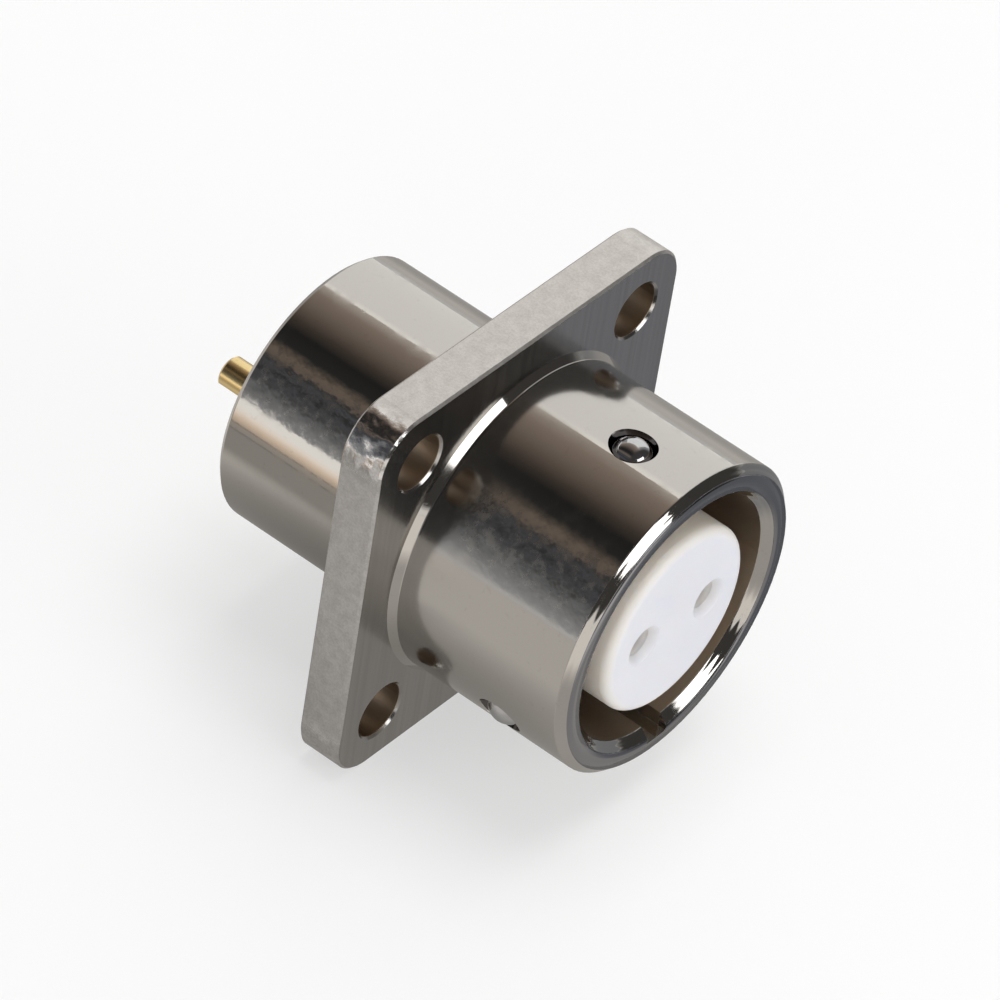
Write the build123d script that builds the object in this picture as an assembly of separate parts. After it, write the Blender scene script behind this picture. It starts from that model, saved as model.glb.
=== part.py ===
from build123d import *
from math import asin, cos, degrees, radians, sin
import os

# Two-pole quick-lock receptacle with a square panel flange, in millimetres.
# The mating axis is Y: the plug arrives from -Y and the wires leave towards +Y.
# The origin is the centre of the flange's seating face, which lies against the panel.
# +Z points to the locking stud at twelve o'clock.

# Square flange
flange_side = 20.0
flange_thick = 2.2
flange_corner_r = 2.2
flange_edge_break = 0.12
screw_spacing = 14.5
screw_hole_d = 2.7
screw_hole_break = 0.12

# Front barrel, which the plug slides over and into
front_barrel_d = 15.4
front_barrel_len = 9.5
front_bore_d = 12.2
front_bore_depth = 7.6
rim_chamfer = 0.38
bore_chamfer = 0.42
barrel_root_chamfer = 0.3
turned_edge_r = 0.08

# Back barrel, which passes through the panel and holds the insulators
back_barrel_d = 13.2
back_barrel_len = 8.8
back_bore_d = 11.0
back_edge_chamfer = 0.25
back_root_fillet = 0.25
web_thick = 1.2

# Keyway for the plug, at six o'clock in the front bore
keyway_width = 1.3
keyway_depth = 0.7
keyway_len = 5.4

# Locking studs, pressed into the front barrel's wall
stud_count = 3
stud_d = 1.75
stud_dome_r = 1.0
stud_proud = 0.22
stud_from_rim = 3.8
stud_mouth_d = 2.2
stud_mouth_depth = 0.6
stud_inset = 0.04

# Insulators
post_d = 9.2
post_edge_r = 0.45
insulator_recess = 0.08
front_collar_len = 2.5
rear_insulator_len = 6.5
insulator_edge_break = 0.2
locating_nub_width = 1.2
locating_nub_height = 0.6

# Contacts
contact_spacing = 4.4
pin_bore_d = 1.04
pin_bore_depth = 5.2
tine_d = 1.7
tine_slot = 0.25
tine_slot_len = 4.6
contact_body_d = 2.1
contact_collar_d = 2.9
contact_collar_len = 1.0
contact_edge_break = 0.12
tail_d = 1.6
tail_beyond_barrel = 3.2
cup_bore_d = 1.15
cup_depth = 2.9
cup_scoop_len = 1.9
cup_scoop_depth = 0.65
vent_d = 0.5

# Spring hoods round the slotted ends of the contacts
hood_wall = 0.15
hood_len = 5.3
hood_lip = 0.2
entry_d = 1.4
entry_len = 0.9
entry_sink_d = 2.0
entry_sink_depth = 0.35

# Retaining ring in the back bore
ring_thick = 0.8
ring_radial = 0.9
ring_groove_depth = 0.4
ring_gap_angle = 26.0
ring_ear_d = 1.7
ring_ear_hole_d = 0.8

# Clearances
bore_clearance = 0.05
contact_clearance = 0.05
collar_clearance = 0.05
pressed_clearance = 0.01
hood_clearance = 0.04
ring_clearance = 0.05
nub_clearance = 0.05

# Stations along the mating axis
flange_front_y = -flange_thick
rim_y = flange_front_y - front_barrel_len
back_end_y = back_barrel_len
bore_floor_y = rim_y + front_bore_depth
web_back_y = bore_floor_y + web_thick
post_face_y = rim_y + insulator_recess
split_y = web_back_y + front_collar_len
rear_face_y = split_y + rear_insulator_len
hood_front_y = post_face_y + entry_len + hood_clearance
contact_front_y = hood_front_y + hood_lip + hood_clearance
tail_end_y = back_end_y + tail_beyond_barrel
stud_y = rim_y + stud_from_rim

# Diameters that follow from the fits
web_bore_d = post_d + 2 * bore_clearance
collar_d = back_bore_d - 2 * bore_clearance
contact_bore_d = contact_body_d + 2 * contact_clearance
tail_bore_d = tail_d + 2 * contact_clearance
hood_bore_d = contact_body_d - 2 * hood_wall
hood_seat_d = hood_bore_d - 2 * pressed_clearance
ring_groove_d = back_bore_d + 2 * ring_groove_depth

Y_DIR = (0, 1, 0)
X_DIR = (1, 0, 0)


def turned(*outline):
    """Solid of revolution about the mating axis, from (radius, y) points."""
    return revolve(make_face(Polyline(*outline, close=True)), Axis.Y)


def rod(diameter, y_from, y_to, x=0.0, z=0.0):
    """Round bar along the mating axis."""
    section = Plane(origin=(x, y_from, z), x_dir=X_DIR, z_dir=Y_DIR) * Circle(diameter / 2)
    return extrude(section, y_to - y_from)


def cone(d_from, y_from, d_to, y_to, x=0.0, z=0.0):
    """Straight cone frustum along the mating axis."""
    start = Plane(origin=(x, y_from, z), x_dir=X_DIR, z_dir=Y_DIR) * Circle(d_from / 2)
    finish = Plane(origin=(x, y_to, z), x_dir=X_DIR, z_dir=Y_DIR) * Circle(d_to / 2)
    return loft([start.face(), finish.face()])


def block(x_from, x_to, y_from, y_to, z_from, z_to):
    """Rectangular block between two corners."""
    size = Box(x_to - x_from, y_to - y_from, z_to - z_from)
    return Pos((x_from + x_to) / 2, (y_from + y_to) / 2, (z_from + z_to) / 2) * size


def turned_smooth(corners):
    """Solid of revolution about the mating axis, from (radius, y, corner rounding) rows."""
    points = [(radius, y) for radius, y, rounding in corners]
    roundings = [rounding for radius, y, rounding in corners]
    outline = FilletPolyline(*points, radius=roundings, close=True)
    return revolve(make_face(outline), Axis.Y)


def turned_outside():
    """Both barrels in one turning, with the roots where they meet the flange."""
    front_r = front_barrel_d / 2
    back_r = back_barrel_d / 2
    root_r = front_r + barrel_root_chamfer
    edge = turned_edge_r
    return turned_smooth([
        (0, rim_y, 0),
        (front_r - rim_chamfer, rim_y, edge),
        (front_r, rim_y + rim_chamfer, edge),
        (front_r, flange_front_y - barrel_root_chamfer, edge),
        (root_r, flange_front_y, 0),
        (root_r, 0, 0),
        (back_r, 0, back_root_fillet),
        (back_r, back_end_y - back_edge_chamfer, edge),
        (back_r - back_edge_chamfer, back_end_y, edge),
        (0, back_end_y, 0),
    ])


def flange_plate():
    """Square flange with rounded corners and broken edges."""
    section = Plane(origin=(0, flange_front_y, 0), x_dir=X_DIR, z_dir=Y_DIR)
    plate = extrude(section * RectangleRounded(flange_side, flange_side, flange_corner_r), flange_thick)
    rims = plate.faces().sort_by(Axis.Y)
    return chamfer(rims[0].edges() + rims[-1].edges(), flange_edge_break)


def screw_hole(x, z):
    """Through hole for a flange screw, with both edges broken."""
    wide_d = screw_hole_d + 2 * screw_hole_break
    hole = rod(screw_hole_d, flange_front_y, 0, x, z)
    hole += cone(wide_d, flange_front_y, screw_hole_d, flange_front_y + screw_hole_break, x, z)
    hole += cone(screw_hole_d, -screw_hole_break, wide_d, 0, x, z)
    return hole


def stepped_bore():
    """Front bore, the smaller bore through the web, and the back bore with its groove."""
    front_r = front_bore_d / 2
    back_r = back_bore_d / 2
    groove_r = ring_groove_d / 2
    groove_end_y = rear_face_y + ring_thick + ring_clearance
    edge = turned_edge_r
    return turned_smooth([
        (0, rim_y - bore_chamfer, 0),
        (front_barrel_d, rim_y - bore_chamfer, 0),
        (front_barrel_d, rim_y, 0),
        (front_r + bore_chamfer, rim_y, edge),
        (front_r, rim_y + bore_chamfer, edge),
        (front_r, bore_floor_y, 0),
        (web_bore_d / 2, bore_floor_y, 0),
        (web_bore_d / 2, web_back_y, 0),
        (back_r, web_back_y, 0),
        (back_r, rear_face_y, 0),
        (groove_r, rear_face_y, 0),
        (groove_r, groove_end_y, 0),
        (back_r, groove_end_y, 0),
        (back_r, back_end_y - back_edge_chamfer, edge),
        (back_r + back_edge_chamfer, back_end_y, 0),
        (0, back_end_y, 0),
    ])


def stud_seat():
    """Radial hole for the top stud, opened out by a countersink at the barrel's surface."""
    barrel_r = front_barrel_d / 2
    floor = Plane(origin=(0, stud_y, 0), z_dir=(0, 0, 1))
    sink_from = barrel_r - stud_mouth_depth
    sink_to = barrel_r + stud_proud
    mouth_gain = (stud_mouth_d - stud_d) / stud_mouth_depth
    seat = extrude(floor * Circle(stud_d / 2 + pressed_clearance), sink_to)
    narrow = floor.offset(sink_from) * Circle(stud_d / 2 + pressed_clearance)
    wide = floor.offset(sink_to) * Circle(stud_d / 2 + mouth_gain * (sink_to - sink_from) / 2)
    return seat + loft([narrow.face(), wide.face()])


def round_the_barrel(shape):
    """Copies of a shape, turned about the mating axis to each stud's place."""
    return [shape.rotate(Axis.Y, k * 360 / stud_count) for k in range(stud_count)]


def keyway():
    """Straight groove along the bottom of the front bore."""
    half = keyway_width / 2
    bottom = front_bore_d / 2 + keyway_depth
    return block(-half, half, rim_y, rim_y + keyway_len, -bottom, 0)


def web_notch():
    """Notch through the web that keeps the front insulator from turning."""
    half = locating_nub_width / 2 + nub_clearance
    top = post_d / 2 + locating_nub_height + nub_clearance
    return block(-half, half, bore_floor_y, web_back_y, 0, top)


def make_shell():
    """One-piece metal shell: flange, two barrels, bores, keyway and seats."""
    body = turned_outside() + flange_plate()
    body -= stepped_bore()
    body -= keyway()
    body -= web_notch()
    half = screw_spacing / 2
    for x in (-half, half):
        for z in (-half, half):
            body -= screw_hole(x, z)
    for seat in round_the_barrel(stud_seat()):
        body -= seat
    return body


def top_stud():
    """Stud with a domed end that stands in the top seat."""
    foot_z = front_bore_d / 2 + stud_inset
    tip_z = front_barrel_d / 2 + stud_proud
    dome_z = tip_z - stud_dome_r
    from_below = (Align.CENTER, Align.CENTER, Align.MIN)
    shank = Pos(0, stud_y, foot_z) * Cylinder(stud_d / 2, dome_z - foot_z, align=from_below)
    head = Pos(0, stud_y, dome_z) * Cylinder(stud_d / 2, stud_dome_r, align=from_below)
    return shank + (head & Pos(0, stud_y, dome_z) * Sphere(stud_dome_r))


def contact_passage(x):
    """Hole through the front insulator for one contact, with its funnel and counterbore."""
    sink_end = post_face_y + entry_sink_depth
    passage = rod(entry_d, post_face_y, post_face_y + entry_len, x)
    passage += cone(entry_sink_d, post_face_y, entry_d, sink_end, x)
    passage += rod(contact_bore_d, post_face_y + entry_len, split_y, x)
    collar_from = split_y - contact_collar_len - collar_clearance
    passage += rod(contact_collar_d + 2 * collar_clearance, collar_from, split_y, x)
    return passage


def make_front_insulator():
    """White post that fills the front bore, on the collar that seats behind the web."""
    post_r = post_d / 2
    body = turned_smooth([
        (0, post_face_y, 0),
        (post_r, post_face_y, post_edge_r),
        (post_r, web_back_y, 0),
        (collar_d / 2, web_back_y, 0),
        (collar_d / 2, split_y, 0),
        (0, split_y, 0),
    ])
    half = locating_nub_width / 2
    nub_top = post_r + locating_nub_height
    body += block(-half, half, bore_floor_y, web_back_y, post_r / 2, nub_top)
    for side in (-1, 1):
        body -= contact_passage(side * contact_spacing / 2)
    return body


def make_rear_insulator():
    """White disc that clamps the contact collars against the front insulator."""
    edge_r = collar_d / 2
    body = turned(
        (0, split_y),
        (edge_r, split_y),
        (edge_r, rear_face_y - insulator_edge_break),
        (edge_r - insulator_edge_break, rear_face_y),
        (0, rear_face_y),
    )
    for side in (-1, 1):
        body -= rod(tail_bore_d, split_y, rear_face_y, side * contact_spacing / 2)
    return body


def make_contact(x):
    """Turned socket contact: slotted tines, collar, shank and scooped solder cup."""
    tine_end_y = contact_front_y + hood_len - hood_lip
    collar_from = split_y - contact_collar_len
    body = turned(
        (0, contact_front_y),
        (tine_d / 2 - contact_edge_break, contact_front_y),
        (tine_d / 2, contact_front_y + contact_edge_break),
        (tine_d / 2, contact_front_y + tine_slot_len),
        (hood_seat_d / 2, contact_front_y + tine_slot_len),
        (hood_seat_d / 2, tine_end_y),
        (contact_body_d / 2, tine_end_y),
        (contact_body_d / 2, collar_from),
        (contact_collar_d / 2, collar_from),
        (contact_collar_d / 2, split_y),
        (tail_d / 2, split_y),
        (tail_d / 2, tail_end_y - contact_edge_break),
        (tail_d / 2 - contact_edge_break, tail_end_y),
        (0, tail_end_y),
    )
    body -= rod(pin_bore_d, contact_front_y, contact_front_y + pin_bore_depth)
    lead_in_d = pin_bore_d + 2 * contact_edge_break
    body -= cone(lead_in_d, contact_front_y, pin_bore_d, contact_front_y + contact_edge_break)
    slot_to = contact_front_y + tine_slot_len
    body -= block(-tine_slot / 2, tine_slot / 2, contact_front_y, slot_to, -tine_d, tine_d)
    return Pos(x, 0, 0) * (body - solder_cup_cuts())


def solder_cup_cuts():
    """What is cut from a tail: the wire bore, its mouth scooped from below and the vent hole."""
    cut = rod(cup_bore_d, tail_end_y - cup_depth, tail_end_y)
    scoop_top_z = cup_scoop_depth - tail_d / 2
    scoop_from_y = tail_end_y - cup_scoop_len
    slope_y = scoop_from_y + cup_scoop_depth
    side_view = Polyline(
        (0, scoop_from_y, -tail_d),
        (0, scoop_from_y, -tail_d / 2),
        (0, slope_y, scoop_top_z),
        (0, tail_end_y, scoop_top_z),
        (0, tail_end_y, -tail_d),
        close=True,
    )
    cut += extrude(make_face(side_view), tail_d, dir=X_DIR, both=True)
    vent_y = tail_end_y - cup_depth + vent_d
    vent = Plane(origin=(0, vent_y, 0), z_dir=(0, 0, -1)) * Circle(vent_d / 2)
    return cut + extrude(vent, tail_d)


def make_hood(x):
    """Thin closed-entry sleeve that guards the tines and keeps them from spreading."""
    outer_r = contact_body_d / 2
    inner_r = hood_bore_d / 2
    mouth_r = entry_d / 2
    hood_end_y = hood_front_y + hood_len
    body = turned(
        (mouth_r, hood_front_y),
        (outer_r - hood_lip / 2, hood_front_y),
        (outer_r, hood_front_y + hood_lip / 2),
        (outer_r, hood_end_y),
        (inner_r, hood_end_y),
        (inner_r, hood_front_y + hood_lip),
        (mouth_r, hood_front_y + hood_lip),
    )
    return Pos(x, 0, 0) * body


def gap_sector(half_angle, reach):
    """Triangle from the centre that opens the ring towards local +Y."""
    side = reach * sin(radians(half_angle))
    up = reach * cos(radians(half_angle))
    return make_face(Polyline((0, 0), (side, up), (-side, up), close=True))


def make_retaining_ring():
    """Sprung open ring in the back bore's groove, with an ear at each end for pliers."""
    outer_r = ring_groove_d / 2 - ring_clearance
    inner_r = outer_r - ring_groove_depth - ring_radial
    half_gap = ring_gap_angle / 2
    ear_from_top = half_gap + degrees(asin(ring_ear_d / 2 / inner_r))
    ears = [Rot(0, 0, side * ear_from_top) * Pos(0, inner_r) for side in (-1, 1)]
    section = Circle(outer_r) - Circle(inner_r) - gap_sector(half_gap, 2 * outer_r)
    for ear in ears:
        section += ear * Circle(ring_ear_d / 2)
    for ear in ears:
        section -= ear * Circle(ring_ear_hole_d / 2)
    face = Plane(origin=(0, rear_face_y, 0), x_dir=X_DIR, z_dir=Y_DIR)
    return extrude(face * section, ring_thick)


half_spacing = contact_spacing / 2
parts = {
    "shell": make_shell(),
    "front_insulator": make_front_insulator(),
    "rear_insulator": make_rear_insulator(),
    "retaining_ring": make_retaining_ring(),
    "contact_left": make_contact(-half_spacing),
    "contact_right": make_contact(half_spacing),
    "contact_hood_left": make_hood(-half_spacing),
    "contact_hood_right": make_hood(half_spacing),
}
for number, stud in enumerate(round_the_barrel(top_stud()), start=1):
    parts[f"locking_stud_{number}"] = stud

os.makedirs("parts", exist_ok=True)
for name, part in parts.items():
    export_step(part, f"parts/{name}.step")
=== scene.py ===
import math

import bpy
import numpy as np
from mathutils import Matrix, Vector

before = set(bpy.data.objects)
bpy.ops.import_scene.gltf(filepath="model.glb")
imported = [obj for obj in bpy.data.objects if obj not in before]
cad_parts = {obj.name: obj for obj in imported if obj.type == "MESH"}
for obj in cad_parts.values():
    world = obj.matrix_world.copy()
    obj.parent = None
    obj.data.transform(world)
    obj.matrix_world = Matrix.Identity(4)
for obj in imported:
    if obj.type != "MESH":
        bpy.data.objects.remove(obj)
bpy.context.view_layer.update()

# Sizes of the shell and its inserts, in metres: they place the finishes of the materials
FLANGE_HALF = 0.0100
FLANGE_CORNER_R = 0.0022
FLANGE_MID_Y = -0.0011
SCREW_SPACING = 0.0145
SCREW_HOLE_R = 0.00135
RIM_Y = -0.0117
RIM_CHAMFER = 0.0004
LIP_R = 0.00692
LIP_HALF = 0.00040
RING_PITCH = 0.00021
BARREL_R = 0.0077
BARREL_ROOT = 0.00030
BARREL_ROOT_Y = -0.0026
BACK_BARREL_R = 0.0066
BACK_BARREL_ROOT = 0.00024
BORE_R = 0.0061
BORE_END_Y = -0.0030
STUD_COUNT = 3
STUD_Y = -0.0079
STUD_MOUTH_R = 0.0011
POST_R = 0.0046
POST_EDGE = 0.0006
CONTACT_X = 0.0022
# Inner and outer radius of the painted shade around each contact hole
HOLE_SHADE_R = (0.00065, 0.00115)

# Slack that keeps a mask's border off the edge that it follows
HAIR = 0.00002

# Dents at the flange's left corners, the painted shade that darkens its left edge, the worn stripe
# along the barrels, whose place is its turn about Y in radians, and the haze at the front barrel's root
DENTS_ACROSS = 0.0012
DENTS_ALONG = (0.0009, 0.0003)
LEFT_EDGE_SHADE_X = (-0.0080, -0.0095)
WORN_TURN = 2.45
WORN_SPREAD = (0.12, 0.28)
WORN_FROM_FLANGE = (0.0020, 0.0040)
HAZE_Y = (-0.0072, -0.0048)

# Depth in metres that a bump height of 1 stands for on metal and on plastic
METAL_BUMP = 0.00003
PLASTIC_BUMP = 0.00002

# Bump height of the lip's rounding per square metre
LIP_ROUNDING = 4.0e7

# Floor, and a card that stands on it at the left, which only the back barrel reflects
FLOOR_Z = -0.0100
FLOOR_R = 3.0
FLOOR_POINTS = 96
CARD_X = -0.060
CARD_Y = (0.0232, 0.110)
CARD_TOP_Z = 0.008
CARD_STRENGTH = 1.25

# Half cylinder of studio walls, in metres
WALL_R = 1.1
WALL_HALF_LENGTH = 1.6
WALL_POINTS = 61

# Glow of the walls by their angle about Y, from 0 at the right through 0.5 overhead to 1 at the left
WALL_GLOW = [
    (0.000, 0.66), (0.026, 0.66), (0.034, 0.38), (0.320, 0.36),
    (0.345, (0.56, 0.54, 0.51)), (0.362, (0.52, 0.46, 0.41)), (0.400, (0.32, 0.26, 0.22)),
    (0.480, (0.20, 0.16, 0.135)), (0.550, (0.075, 0.06, 0.05)), (0.600, 0.022), (0.660, 0.03),
    (0.700, (0.20, 0.16, 0.13)), (0.735, (0.17, 0.14, 0.12)), (0.750, 0.05),
    (0.775, (0.10, 0.105, 0.12)), (0.795, 0.04), (0.830, (0.095, 0.10, 0.115)), (0.850, 0.08),
    (0.875, (0.165, 0.17, 0.18)), (0.930, (0.265, 0.27, 0.28)), (0.986, (0.405, 0.41, 0.425)),
    (0.990, 0.66),
]
WALL_AHEAD = (0.060, 0.057, 0.055, 1)
HORIZON_RIGHT = (0.20, 0.19, 0.18, 1)
HORIZON_LEFT = (1.0, 0.98, 0.95, 1)

# Glow of the card from its foot at 0 to its top at 1
CARD_GLOW = [
    (0.00, (0.50, 0.42, 0.34)), (0.25, (0.78, 0.63, 0.50)), (0.50, (1.0, 0.90, 0.80)),
    (0.70, (1.0, 0.98, 0.95)), (1.00, (1.0, 0.98, 0.95)),
]

# Glow of the floor behind the flange, by distance to the left, with painted shadow lines and the card's
# painted contact shadow; the card's foot is at 0.5
CARD_SHADE = [
    (0.33, (0.38, 0.36, 0.335)), (0.35, (0.27, 0.25, 0.23)), (0.37, (0.43, 0.40, 0.37)),
    (0.46, (0.47, 0.42, 0.37)), (0.50, (0.24, 0.21, 0.19)), (0.52, (0.64, 0.61, 0.58)),
]
FLOOR_TINT = (1.0, 0.96, 0.91)
FRONT_RIGHT_GLOW = (0.24, 0.245, 0.26, 1)
FRONT_RIGHT = (0.788, -0.616)
FLOOR_SEEN_GLOW = 0.99
FLOOR_SEEN_SHARE = 0.55


# Node helpers
class Tree:
    """Short words for building a node tree: each returns the output of the node that it makes."""

    def __init__(self, tree):
        self.tree = tree
        self.links = tree.links

    def node(self, kind, **values):
        made = self.tree.nodes.new(kind)
        for name, value in values.items():
            setattr(made, name, value)
        return made

    def feed(self, socket, value):
        """Link a socket to another one, or give it a fixed value."""
        if isinstance(value, bpy.types.NodeSocket):
            self.links.new(value, socket)
        else:
            socket.default_value = value

    def math(self, operation, a, b=0.0):
        made = self.node("ShaderNodeMath", operation=operation)
        for socket, value in zip(made.inputs, (a, b)):
            self.feed(socket, value)
        return made.outputs[0]

    def add(self, a, b):
        return self.math("ADD", a, b)

    def subtract(self, a, b):
        return self.math("SUBTRACT", a, b)

    def multiply(self, a, b):
        return self.math("MULTIPLY", a, b)

    def distance(self, a, b):
        """Square root of a squared plus b squared."""
        squares = self.add(self.math("POWER", a, 2.0), self.math("POWER", b, 2.0))
        return self.math("SQRT", squares)

    def smooth(self, value, low, high):
        """0 at low, 1 at high, and a smooth step between them, also where high is the lesser."""
        made = self.node("ShaderNodeMapRange", interpolation_type="SMOOTHSTEP")
        for name, number in (("Value", value), ("From Min", low), ("From Max", high)):
            self.feed(made.inputs[name], number)
        return made.outputs["Result"]

    def mix_value(self, factor, a, b):
        made = self.node("ShaderNodeMix", data_type="FLOAT")
        for socket, value in zip((made.inputs[0], made.inputs[2], made.inputs[3]), (factor, a, b)):
            self.feed(socket, value)
        return made.outputs[0]

    def mix_colour(self, factor, a, b):
        made = self.node("ShaderNodeMix", data_type="RGBA")
        for socket, value in zip((made.inputs[0], made.inputs[6], made.inputs[7]), (factor, a, b)):
            self.feed(socket, value)
        return made.outputs[2]

    def scale_colour(self, colour, factor):
        made = self.node("ShaderNodeVectorMath", operation="SCALE")
        made.inputs[0].default_value = colour
        self.feed(made.inputs["Scale"], factor)
        return made.outputs[0]

    def ramp(self, value, stops):
        """Colour ramp; a stop is a place and either a grey or a colour."""
        made = self.node("ShaderNodeValToRGB")
        elements = made.color_ramp.elements
        while len(elements) < len(stops):
            elements.new(0.5)
        for element, (place, tone) in zip(elements, stops):
            element.position = place
        for element, (place, tone) in zip(elements, stops):
            element.color = (*tone, 1) if isinstance(tone, tuple) else (tone, tone, tone, 1)
        self.feed(made.inputs["Fac"], value)
        return made.outputs["Color"]

    def noise(self, vector, scale, detail=3.0, roughness=0.55, stretch=None):
        if stretch:
            mapping = self.node("ShaderNodeMapping")
            mapping.inputs["Scale"].default_value = stretch
            self.feed(mapping.inputs["Vector"], vector)
            vector = mapping.outputs[0]
        made = self.node("ShaderNodeTexNoise")
        self.feed(made.inputs["Vector"], vector)
        made.inputs["Scale"].default_value = scale
        made.inputs["Detail"].default_value = detail
        made.inputs["Roughness"].default_value = roughness
        return made.outputs["Fac"]

    def bump(self, height, strength, depth):
        made = self.node("ShaderNodeBump")
        self.feed(made.inputs["Height"], height)
        self.feed(made.inputs["Strength"], strength)
        made.inputs["Distance"].default_value = depth
        return made.outputs["Normal"]

    def split(self, vector):
        """The x, y and z of a vector."""
        made = self.node("ShaderNodeSeparateXYZ")
        self.feed(made.inputs[0], vector)
        return made.outputs

    def glow_shader(self, colour):
        made = self.node("ShaderNodeEmission")
        self.feed(made.inputs["Color"], colour)
        return made.outputs[0]

    def blend(self, factor, a, b):
        made = self.node("ShaderNodeMixShader")
        for socket, value in zip(made.inputs, (factor, a, b)):
            self.links.new(value, socket)
        return made.outputs[0]

    def group(self, tree, **values):
        made = self.node("ShaderNodeGroup", node_tree=tree)
        for name, value in values.items():
            self.feed(made.inputs[name], value)
        return made.outputs


def new_material(name):
    """An empty material, its tree, its Principled shader and the Object coordinates."""
    material = bpy.data.materials.new(name)
    material.use_nodes = True
    tree = Tree(material.node_tree)
    shader = material.node_tree.nodes["Principled BSDF"]
    coordinates = tree.node("ShaderNodeTexCoord").outputs["Object"]
    return material, tree, shader, coordinates


def new_group(name, inputs, outputs):
    """A shader node group: inputs are name, kind and value, outputs are names of values."""
    group = bpy.data.node_groups.new(name, "ShaderNodeTree")
    for label, kind, value in inputs:
        socket = group.interface.new_socket(label, in_out="INPUT", socket_type=kind)
        if value is not None:
            socket.default_value = value
    for label in outputs:
        group.interface.new_socket(label, in_out="OUTPUT", socket_type="NodeSocketFloat")
    tree = Tree(group)
    return group, tree, tree.node("NodeGroupInput").outputs, tree.node("NodeGroupOutput").inputs


# Shared effects
def make_plating_group():
    """Plated metal: a soft unevenness, fine pits and wiped smudges."""
    group, tree, given, result = new_group(
        "Plating",
        [("Vector", "NodeSocketVector", None), ("Waviness", "NodeSocketFloat", 1.0),
         ("Pits", "NodeSocketFloat", 1.0), ("Smudges", "NodeSocketFloat", 1.0)],
        ["Height", "Roughness", "Tone"],
    )
    place = given["Vector"]
    pits = tree.smooth(tree.noise(place, 2600.0, 3.0, 0.7), 0.60, 0.72)
    wave = tree.multiply(tree.noise(place, 800.0, 2.0, 0.45), given["Waviness"])
    grain = tree.noise(place, 5200.0, 2.0, 0.6)
    relief = tree.multiply(tree.subtract(grain, pits), tree.multiply(given["Pits"], 0.10))
    tree.feed(result["Height"], tree.add(wave, relief))
    patches = tree.smooth(tree.noise(place, 150.0, 2.0, 0.5), 0.40, 0.60)
    haze = tree.smooth(tree.noise(place, 1500.0, 2.0, 0.55), 0.38, 0.68)
    tree.feed(result["Roughness"], tree.multiply(tree.multiply(patches, haze), given["Smudges"]))
    tree.feed(result["Tone"], tree.multiply(pits, given["Pits"]))
    return group


def stud_seats(tree, x, y, z):
    """1 within the mouth's radius of a stud's axis, on the stud's side of the barrel.

    Stud k stands at angle a = 90 + 120 k degrees, along (cos a, 0, sin a)."""
    seats = 0.0
    for angle in (math.radians(90 + 360 * k / STUD_COUNT) for k in range(STUD_COUNT)):
        across = tree.subtract(tree.multiply(z, math.cos(angle)), tree.multiply(x, math.sin(angle)))
        outwards = tree.add(tree.multiply(x, math.cos(angle)), tree.multiply(z, math.sin(angle)))
        reach = tree.distance(across, tree.subtract(y, STUD_Y))
        seat = tree.math("LESS_THAN", reach, STUD_MOUTH_R - HAIR)
        seat = tree.multiply(seat, tree.math("GREATER_THAN", outwards, 0.0))
        seats = tree.math("MAXIMUM", seats, seat)
    return seats


def make_shell_group():
    """Masks of the shell's places: each is 1 there and 0 elsewhere.

    A point of the flange's outline lies its corner radius from the square that is that much
    smaller, so the distance to the smaller square tells the edges from the faces."""
    group, tree, given, result = new_group(
        "Shell places",
        [("Vector", "NodeSocketVector", None)],
        ["Edges", "Faces", "Rim", "Lip", "Bore", "Corners", "Holes", "Seats"],
    )
    x, y, z = tree.split(given["Vector"])
    across_x = tree.math("ABSOLUTE", x)
    across_z = tree.math("ABSOLUTE", z)
    inner = FLANGE_HALF - FLANGE_CORNER_R
    beyond_x = tree.math("MAXIMUM", tree.subtract(across_x, inner), 0.0)
    beyond_z = tree.math("MAXIMUM", tree.subtract(across_z, inner), 0.0)
    reach = tree.distance(beyond_x, beyond_z)
    edges = tree.smooth(reach, FLANGE_CORNER_R - 0.00013, FLANGE_CORNER_R - 0.00011)
    tree.feed(result["Edges"], edges)

    radius = tree.distance(x, z)
    at_back = tree.math("GREATER_THAN", y, -0.001)
    root_r = tree.mix_value(at_back, BARREL_R + BARREL_ROOT, BACK_BARREL_R + BACK_BARREL_ROOT)
    outside_barrel = tree.smooth(tree.subtract(radius, root_r), -HAIR, 0.00003)
    tree.feed(result["Faces"], tree.multiply(outside_barrel, tree.subtract(1.0, edges)))

    tree.feed(result["Rim"], tree.math("LESS_THAN", y, RIM_Y + HAIR))
    tree.feed(result["Lip"], tree.math("LESS_THAN", y, RIM_Y + RIM_CHAMFER))
    deep = tree.math("GREATER_THAN", y, RIM_Y + RIM_CHAMFER + 0.00003)
    before_web = tree.math("LESS_THAN", y, BORE_END_Y)
    inside = tree.math("LESS_THAN", radius, BORE_R + 0.0007)
    tree.feed(result["Bore"], tree.multiply(tree.multiply(deep, inside), before_web))

    left = tree.smooth(x, -inner, -inner - DENTS_ACROSS)
    up_or_down = tree.smooth(across_z, inner - DENTS_ALONG[0], inner + DENTS_ALONG[1])
    tree.feed(result["Corners"], tree.multiply(edges, tree.multiply(left, up_or_down)))

    from_screw = tree.distance(tree.subtract(across_x, SCREW_SPACING / 2),
                               tree.subtract(across_z, SCREW_SPACING / 2))
    tree.feed(result["Holes"], tree.math("LESS_THAN", from_screw, SCREW_HOLE_R + HAIR))
    tree.feed(result["Seats"], stud_seats(tree, x, y, z))
    return group


plating = make_plating_group()
shell_places = make_shell_group()


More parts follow.
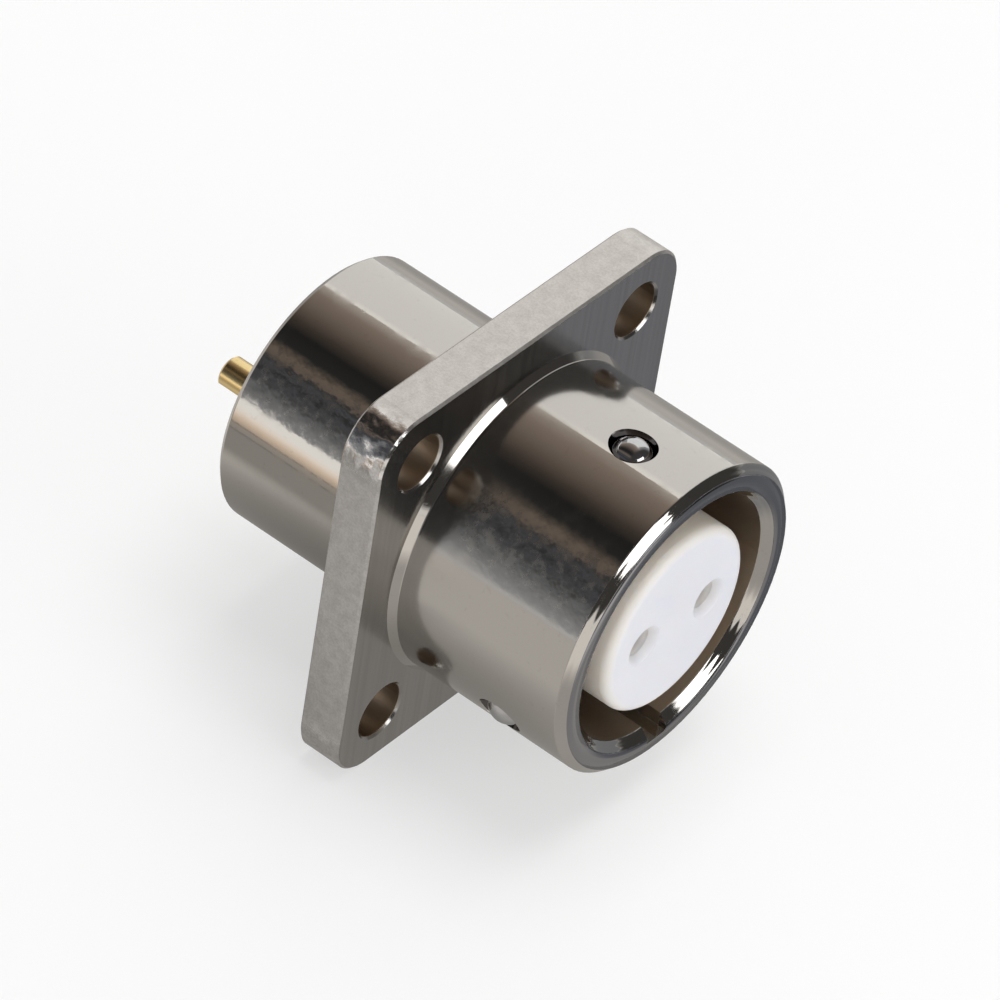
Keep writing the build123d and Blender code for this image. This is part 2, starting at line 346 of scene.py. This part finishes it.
# Materials
def worn_stripe(tree, x, y, z, lip):
    """1 along a stripe on the upper left of both barrels, and 0 near the flange and on the lip."""
    turn = tree.math("ABSOLUTE", tree.subtract(tree.math("ARCTAN2", z, x), WORN_TURN))
    from_flange = tree.math("ABSOLUTE", tree.subtract(y, FLANGE_MID_Y))
    stripe = tree.multiply(tree.smooth(turn, WORN_SPREAD[1], WORN_SPREAD[0]),
                           tree.smooth(from_flange, *WORN_FROM_FLANGE))
    return tree.multiply(stripe, tree.subtract(1.0, lip))


def lip_height(tree, radius):
    """Turned rings on a lip rounded as a parabola.

    Height is 0.07 sin(2 pi r / pitch) plus the rounding times (half width squared minus the
    square of the distance from the lip's middle), where that is above 0."""
    turns = tree.math("SINE", tree.multiply(radius, 2 * math.pi / RING_PITCH))
    from_middle = tree.math("POWER", tree.subtract(radius, LIP_R), 2.0)
    rounding = tree.math("MAXIMUM", tree.subtract(LIP_HALF ** 2, from_middle), 0.0)
    return tree.add(tree.multiply(turns, 0.07), tree.multiply(rounding, LIP_ROUNDING))


def make_nickel():
    """Polished nickel on the barrels, satin on the flat faces and blasted on the flange's edges."""
    material, tree, shader, place = new_material("nickel_plate")
    x, y, z = tree.split(place)
    where = tree.group(shell_places, Vector=place)
    edges, faces, rim, lip = where["Edges"], where["Faces"], where["Rim"], where["Lip"]
    bore, corners, holes = where["Bore"], where["Corners"], where["Holes"]
    finish = tree.group(plating, Vector=place)
    blast = tree.noise(place, 8200.0, 3.0, 0.65)
    brushing = tree.noise(place, 700.0, 2.0, 0.5, stretch=(6.0, 1.0, 0.10))
    fine_brushing = tree.noise(place, 1500.0, 1.0, 0.5, stretch=(3.0, 1.0, 0.05))

    warm = (0.54, 0.52, 0.49, 1)
    tone = tree.mix_colour(tree.multiply(finish["Tone"], 0.12), warm, (0.28, 0.26, 0.24, 1))
    satin_tone = tree.mix_colour(brushing, (0.40, 0.39, 0.38, 1), (0.54, 0.53, 0.515, 1))
    tone = tree.mix_colour(faces, tone, satin_tone)
    # Painted shade: the rim's flat face gets a much darker tone than the rest of the turned nickel,
    # standing in for a dark reflection
    tone = tree.mix_colour(rim, tone, (0.30, 0.30, 0.315, 1))
    tone = tree.mix_colour(bore, tone, (0.48, 0.40, 0.32, 1))
    tone = tree.mix_colour(holes, tone, (0.44, 0.36, 0.28, 1))
    # Painted shade: the stud seats' countersinks and hole walls are darkened as a shadowy recess
    tone = tree.mix_colour(where["Seats"], tone, (0.13, 0.12, 0.12, 1))
    blotches = tree.smooth(tree.noise(place, 1800.0, 3.0, 0.6), 0.30, 0.70)
    speckle = tree.mix_value(0.5, tree.smooth(blast, 0.34, 0.66), blotches)
    edge_tone = tree.mix_colour(speckle, (0.60, 0.575, 0.55, 1), (0.78, 0.755, 0.72, 1))
    # Painted shade: the flange's left edge gets a darker, greyer copy of the blasted tone than its top
    # edge
    left_edge_shade_tone = tree.mix_colour(speckle, (0.53, 0.52, 0.51, 1), (0.70, 0.69, 0.68, 1))
    edge_tone = tree.mix_colour(tree.smooth(x, *LEFT_EDGE_SHADE_X), edge_tone, left_edge_shade_tone)
    tree.feed(shader.inputs["Base Color"], tree.mix_colour(edges, tone, edge_tone))

    stripe = worn_stripe(tree, x, y, z, lip)
    worn = tree.multiply(stripe, tree.smooth(tree.noise(place, 2300.0, 3.0, 0.6), 0.38, 0.70))
    rough = tree.add(0.05, tree.multiply(finish["Roughness"], 0.12))
    rough = tree.add(rough, tree.multiply(worn, 0.23))
    haze = tree.multiply(tree.smooth(y, *HAZE_Y), tree.math("LESS_THAN", y, BARREL_ROOT_Y))
    rough = tree.add(rough, tree.multiply(haze, 0.085))
    satin = tree.add(0.13, tree.multiply(brushing, 0.10))
    rough = tree.mix_value(tree.math("MAXIMUM", faces, rim), rough, satin)
    rough = tree.mix_value(tree.math("MAXIMUM", bore, holes), rough, 0.42)
    blasted = tree.mix_value(corners, tree.add(0.36, tree.multiply(blast, 0.16)), 0.15)
    tree.feed(shader.inputs["Roughness"], tree.mix_value(edges, rough, blasted))

    waves = tree.mix_value(tree.math("MAXIMUM", faces, lip), 0.15, 0.05)
    dents = tree.noise(place, 1100.0, 1.5, 0.5)
    ripple = tree.noise(place, 1500.0, 2.0, 0.5)
    lines = tree.add(brushing, fine_brushing)
    height = tree.multiply(finish["Height"], waves)
    height = tree.add(height, tree.multiply(edges, tree.multiply(blast, 0.30)))
    height = tree.add(height, tree.multiply(corners, tree.multiply(dents, 8.0)))
    height = tree.add(height, tree.multiply(stripe, tree.multiply(ripple, 0.75)))
    height = tree.add(height, tree.multiply(lip, lip_height(tree, tree.distance(x, z))))
    height = tree.add(height, tree.multiply(faces, tree.multiply(lines, 0.06)))
    tree.feed(shader.inputs["Normal"], tree.bump(height, 1.0, METAL_BUMP))
    shader.inputs["Metallic"].default_value = 1.0
    return material


def make_metal(name, colour, roughness, waviness, pits, strength):
    """A plain plated or polished metal with a little unevenness."""
    material, tree, shader, place = new_material(name)
    finish = tree.group(plating, Vector=place, Waviness=waviness, Pits=pits)
    dark = tuple(0.55 * part for part in colour)
    tone = tree.mix_colour(tree.multiply(finish["Tone"], 0.35), (*colour, 1), (*dark, 1))
    tree.feed(shader.inputs["Base Color"], tone)
    rough = tree.add(roughness, tree.multiply(finish["Roughness"], 0.08))
    tree.feed(shader.inputs["Roughness"], rough)
    tree.feed(shader.inputs["Normal"], tree.bump(finish["Height"], strength, METAL_BUMP))
    shader.inputs["Metallic"].default_value = 1.0
    return material


def make_plastic():
    """White moulded insulator, a little translucent, with painted warm bounce light on its side wall,
    painted shade around the contact holes and painted light deeper in.
    """
    material, tree, shader, place = new_material("white_insulator")
    x, y, z = tree.split(place)
    cloud = tree.noise(place, 500.0, 3.0, 0.5)
    # Painted light: the side wall is tinted cream as warm light bounced from the nickel
    side = tree.smooth(tree.distance(x, z), POST_R - POST_EDGE, POST_R)
    face = tree.mix_colour(cloud, (0.84, 0.845, 0.91, 1), (0.88, 0.885, 0.945, 1))
    # Painted shade: the face darkens gradually towards each contact hole
    from_contact = tree.distance(tree.subtract(tree.math("ABSOLUTE", x), CONTACT_X), z)
    hole_shade = tree.smooth(from_contact, HOLE_SHADE_R[1], HOLE_SHADE_R[0])
    face = tree.mix_colour(hole_shade, face, (0.74, 0.73, 0.735, 1))
    # Painted light: the hole walls and faces set deeper than the front face are made paler to lift their
    # shade
    painted_light_deeper = tree.smooth(y, RIM_Y + 0.0004, RIM_Y + 0.0006)
    face = tree.mix_colour(painted_light_deeper, face, (0.97, 0.95, 0.94, 1))
    tree.feed(shader.inputs["Base Color"], tree.mix_colour(side, face, (0.93, 0.88, 0.82, 1)))
    tree.feed(shader.inputs["Roughness"], tree.add(0.30, tree.multiply(cloud, 0.16)))
    grain = tree.noise(place, 3000.0, 2.0, 0.5)
    tree.feed(shader.inputs["Normal"], tree.bump(grain, 0.25, PLASTIC_BUMP))
    shader.inputs["Subsurface Weight"].default_value = 0.45
    shader.inputs["Subsurface Scale"].default_value = 0.0012
    shader.inputs["Subsurface Radius"].default_value = (1.0, 0.85, 0.7)
    return material


MATERIALS = {
    "nickel_plate": make_nickel(),
    "stud_steel": make_metal("stud_steel", (0.56, 0.56, 0.57), 0.10, 0.6, 0.6, 0.25),
    "white_insulator": make_plastic(),
    "gold_plate": make_metal("gold_plate", (0.85, 0.66, 0.33), 0.24, 0.9, 0.9, 0.35),
    "spring_steel": make_metal("spring_steel", (0.50, 0.50, 0.50), 0.28, 0.6, 0.8, 0.3),
}
SLOTS = {
    "shell": "nickel_plate",
    "locking_stud_1": "stud_steel",
    "locking_stud_2": "stud_steel",
    "locking_stud_3": "stud_steel",
    "front_insulator": "white_insulator",
    "rear_insulator": "white_insulator",
    "contact_left": "gold_plate",
    "contact_right": "gold_plate",
    "contact_hood_left": "spring_steel",
    "contact_hood_right": "spring_steel",
    "retaining_ring": "spring_steel",
}
for node_name, slot_name in SLOTS.items():
    piece = bpy.data.objects[node_name]
    piece.data.materials.clear()
    piece.data.materials.append(MATERIALS[slot_name])


# Floor, surroundings and lamps
def staged_mesh(name, vertices, faces, material):
    """A mesh of the studio, with its points in an array of rows (x, y, z)."""
    mesh = bpy.data.meshes.new(name)
    mesh.from_pydata(vertices.tolist(), [], faces)
    mesh.materials.append(material)
    made = bpy.data.objects.new(name, mesh)
    bpy.context.scene.collection.objects.link(made)
    return made


def show_only_in_reflections(thing):
    thing.visible_camera = False
    thing.visible_diffuse = False
    thing.visible_transmission = False
    thing.visible_shadow = False
    thing.visible_volume_scatter = False


def glow_material(name):
    """An empty material that glows, its tree, its emission shader and x, y and z."""
    material, tree, shader, place = new_material(name)
    material.node_tree.nodes.remove(shader)
    emission = tree.node("ShaderNodeEmission")
    tree.links.new(emission.outputs[0], material.node_tree.nodes["Material Output"].inputs["Surface"])
    return material, tree, emission, tree.split(place)


def floor_glow(tree, x, y):
    """The floor as polished metal shows it, with painted light and shade.

    It is dim under the object and near it at the back, a painted shadow of the object, and
    brighter with distance, full at the front, dark at the front right, and shaded by the card
    at the left behind the flange, a painted shadow."""
    away = tree.math("MAXIMUM", tree.distance(x, y), 0.001)
    clear = tree.smooth(away, 0.010, 0.018)
    glow = tree.mix_value(tree.smooth(away, 0.006, 0.024), 0.31, 0.64)
    right_glow = tree.mix_value(tree.smooth(x, 0.025, 0.110), 0.38, 0.62)
    glow = tree.mix_value(tree.smooth(x, 0.010, 0.022), glow, right_glow)
    near_back = tree.multiply(tree.smooth(y, 0.0, 0.004), tree.smooth(away, 0.024, 0.014))
    glow = tree.multiply(glow, tree.mix_value(near_back, 1.0, 0.76))

    front = tree.smooth(tree.math("DIVIDE", y, tree.multiply(away, -1.0)), 0.3, 0.8)
    front_glow = tree.mix_value(tree.smooth(away, 0.028, 0.050), 0.50, 1.0)
    glow = tree.mix_value(tree.multiply(front, clear), glow, front_glow)

    behind = tree.smooth(tree.add(y, tree.multiply(x, 0.41)), -0.004, 0.0)
    behind = tree.multiply(behind, tree.smooth(x, -0.015, -0.022))
    card_shade = tree.ramp(tree.math("DIVIDE", x, 2 * CARD_X), CARD_SHADE)
    colour = tree.mix_colour(behind, tree.scale_colour(FLOOR_TINT, glow), card_shade)

    towards_right = tree.add(tree.multiply(x, FRONT_RIGHT[0]), tree.multiply(y, FRONT_RIGHT[1]))
    shaded = tree.smooth(tree.math("DIVIDE", towards_right, away), 0.80, 0.95)
    return tree.mix_colour(tree.multiply(shaded, clear), colour, FRONT_RIGHT_GLOW)


def make_floor():
    """Large round floor, on which the flange stands: points (R cos a, R sin a, its height)."""
    material, tree, shader, place = new_material("floor")
    shader.inputs["Base Color"].default_value = (0.90, 0.90, 0.90, 1)
    shader.inputs["Roughness"].default_value = 0.9
    shader.inputs["Specular IOR Level"].default_value = 0.0
    x, y = tree.split(place)[:2]
    rays = tree.node("ShaderNodeLightPath").outputs
    pale = tree.glow_shader((FLOOR_SEEN_GLOW, FLOOR_SEEN_GLOW, FLOOR_SEEN_GLOW, 1))
    seen = tree.blend(tree.multiply(rays["Is Camera Ray"], FLOOR_SEEN_SHARE), shader.outputs[0], pale)
    shown = tree.blend(rays["Is Glossy Ray"], seen, tree.glow_shader(floor_glow(tree, x, y)))
    tree.links.new(shown, material.node_tree.nodes["Material Output"].inputs["Surface"])

    angles = np.linspace(0, 2 * math.pi, FLOOR_POINTS, endpoint=False)
    heights = np.full(FLOOR_POINTS, FLOOR_Z)
    ring = np.stack([FLOOR_R * np.cos(angles), FLOOR_R * np.sin(angles), heights], 1)
    staged_mesh("floor", ring, [list(range(FLOOR_POINTS))], material)


def make_card():
    """Upright pale card, brightest at its top edge: a rectangle at x = CARD_X."""
    material, tree, emission, where = glow_material("card")
    rise = tree.math("DIVIDE", tree.subtract(where["Z"], FLOOR_Z), CARD_TOP_Z - FLOOR_Z)
    tree.feed(emission.inputs["Color"], tree.ramp(rise, CARD_GLOW))
    emission.inputs["Strength"].default_value = CARD_STRENGTH
    front, back = CARD_Y
    corners = np.array([
        (CARD_X, front, FLOOR_Z), (CARD_X, back, FLOOR_Z),
        (CARD_X, back, CARD_TOP_Z), (CARD_X, front, CARD_TOP_Z),
    ])
    show_only_in_reflections(staged_mesh("card", corners, [[0, 1, 2, 3]], material))


def wall_material():
    """Walls that glow by their angle, and a dark end wall ahead with a bright low strip."""
    material, tree, emission, (x, y, z) = glow_material("studio_walls")
    glow = tree.ramp(tree.math("DIVIDE", tree.math("ARCTAN2", z, x), math.pi), WALL_GLOW)
    forward = tree.math("DIVIDE", y, tree.distance(x, z))
    rise = tree.math("DIVIDE", z, tree.multiply(y, -1.0))
    horizon = tree.mix_colour(tree.smooth(x, 0.10, -0.30), HORIZON_RIGHT, HORIZON_LEFT)
    ahead = tree.mix_colour(tree.smooth(rise, 0.03, 0.09), horizon, WALL_AHEAD)
    colour = tree.mix_colour(tree.smooth(forward, -0.50, -0.15), ahead, glow)
    tree.feed(emission.inputs["Color"], colour)
    return material


def make_walls():
    """Half cylinder along Y above the floor, closed at both ends.

    A point at angle a and length y is (R cos a, y, R sin a)."""
    lengths, angles = np.meshgrid([-WALL_HALF_LENGTH, WALL_HALF_LENGTH],
                                  np.linspace(0.0, math.pi, WALL_POINTS), indexing="ij")
    points = np.stack([WALL_R * np.cos(angles), lengths, WALL_R * np.sin(angles)], -1)
    first = np.arange(WALL_POINTS - 1)
    second = first + WALL_POINTS
    faces = np.stack([first, first + 1, second + 1, second], 1).tolist()
    faces += [list(range(WALL_POINTS)), list(range(WALL_POINTS, 2 * WALL_POINTS))]
    show_only_in_reflections(staged_mesh("studio_walls", points.reshape(-1, 3), faces, wall_material()))


def make_lamp(name, place, target, size, radiance, colour=(1, 1, 1), glossy=True):
    """Soft rectangular lamp; its power follows from the radiance that it shows."""
    data = bpy.data.lights.new(name, "AREA")
    data.shape = "RECTANGLE"
    data.size, data.size_y = size
    data.energy = radiance * math.pi * size[0] * size[1]
    data.color = colour
    lamp = bpy.data.objects.new(name, data)
    bpy.context.scene.collection.objects.link(lamp)
    towards = (Vector(target) - Vector(place)).normalized()
    across = towards.cross(Vector((0, 1, 0))).normalized()
    along = across.cross(towards)
    turn = Matrix((across, along, -towards)).transposed().to_4x4()
    lamp.matrix_world = Matrix.Translation(place) @ turn
    lamp.visible_glossy = glossy


make_floor()
make_card()
make_walls()
make_lamp("softbox_right", (0.497, 0.27, 0.335), (0, 0.27, 0), (0.665, 0.75), 0.66, (1.0, 0.985, 0.96))
make_lamp("softbox_front", (0.02, -0.52, 0.27), (0, 0, 0), (0.36, 0.17), 3.0)
make_lamp("top_fill", (0.10, -0.05, 0.70), (0, 0, 0), (0.45, 0.45), 3.6, glossy=False)
make_lamp("left_fill", (-0.50, -0.30, 0.10), (0, 0, 0), (0.45, 0.30), 1.2, (1.0, 0.97, 0.94), glossy=False)

world = bpy.data.worlds.new("studio")
world.use_nodes = True
bpy.context.scene.world = world
world.node_tree.nodes["Background"].inputs["Color"].default_value = (0.9, 0.9, 0.9, 1)
world.node_tree.nodes["Background"].inputs["Strength"].default_value = 0.55

bpy.context.scene.view_settings.view_transform = "Standard"


# Camera
def make_camera():
    """Camera at the photograph's angle: its right, up and backward directions are the columns."""
    right = Vector((0.636492, -0.761168, 0.124508))
    down = Vector((-0.456553, -0.501932, -0.734591))
    forward = Vector((0.621641, 0.410717, -0.666989))
    sensor_width = 36.0
    focal_in_sensor_widths = 9.096154
    data = bpy.data.cameras.new("camera")
    data.sensor_width = sensor_width
    data.lens = focal_in_sensor_widths * sensor_width
    camera = bpy.data.objects.new("camera", data)
    bpy.context.scene.collection.objects.link(camera)
    turn = Matrix((right, -down, -forward)).transposed().to_4x4()
    camera.matrix_world = Matrix.Translation((-0.244098, -0.162956, 0.262210)) @ turn
    bpy.context.scene.camera = camera


make_camera()
